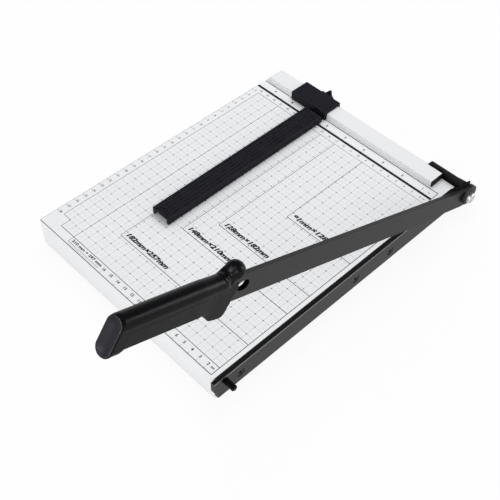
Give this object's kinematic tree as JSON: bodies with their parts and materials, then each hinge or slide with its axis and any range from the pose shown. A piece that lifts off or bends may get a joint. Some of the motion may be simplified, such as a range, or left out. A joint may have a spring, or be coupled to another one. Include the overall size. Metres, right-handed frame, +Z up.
{
  "type": "paper cutter",
  "caption": "Lever paper cutter: sheet-metal board with measuring face, fence and sliding paper stop, fixed edge and a hinged arm with grip.",
  "frame": {"origin": "on the floor, in the plane of the feet, under the middle of the whole cutter's box", "axes": "+X towards the cutting side, +Y towards the fence and the arm's pivot, +Z up"},
  "size_m": [0.2618, 0.4518, 0.2067],
  "materials": {
    "white_paint": "smooth white coat with a printed measuring face",
    "foot_rubber": "matt",
    "zinc": "zinc plated",
    "white_plastic": "satin",
    "black_plastic": "satin",
    "black_steel": "black oxide, bright on the ground edge",
    "black_screw": "black oxide",
    "bright_steel": "bright turned",
    "grey_steel": "dark ground steel",
    "handle_plastic": "glossy",
    "cap_plastic": "satin",
    "stop_plastic": "satin"
  },
  "bodies": {
    "base": {"base_board": "white_paint", "rubber_feet": "foot_rubber", "foot_screws": "zinc", "fence": "white_paint", "fence_cap_left": "white_plastic", "fence_cap_right": "black_plastic", "fence_screws": "zinc", "fixed_blade": "black_steel", "rail_screws": "black_screw", "rail_nuts": "zinc", "stop_pin": "black_steel", "stop_pin_nut": "zinc", "pivot_bracket": "black_steel", "bracket_screws": "zinc", "pivot_stud": "bright_steel", "inner_washer": "black_screw", "spring_washer": "black_screw", "pivot_nut": "black_screw"},
    "arm": {"cutting_arm": "grey_steel", "handle": "handle_plastic", "handle_screws": "black_screw", "handle_end_cap": "cap_plastic"},
    "stop": {"stop_head": "stop_plastic", "stop_arm": "stop_plastic", "stop_arm_screws": "zinc", "clamp_nut": "zinc"},
    "clamp": {"clamp_screw": "stop_plastic"}
  },
  "joints": [
    {"name": "arm_hinge", "type": "hinge", "parent": "base", "child": "arm", "pos_m": [0.12102, 0.20749, 0.0218], "axis": [-1, 0, 0], "range_deg": [-17.9, 45]},
    {"name": "stop_slide", "type": "slide", "parent": "base", "child": "stop", "axis": [1, 0, 0], "range_m": [-0.033, 0.1155]},
    {"name": "clamp_turn", "type": "hinge", "parent": "stop", "child": "clamp", "pos_m": [-0.06123, 0.21039, 0.0385], "axis": [0, 1, 0], "range_deg": [-90, 90]}
  ]
}
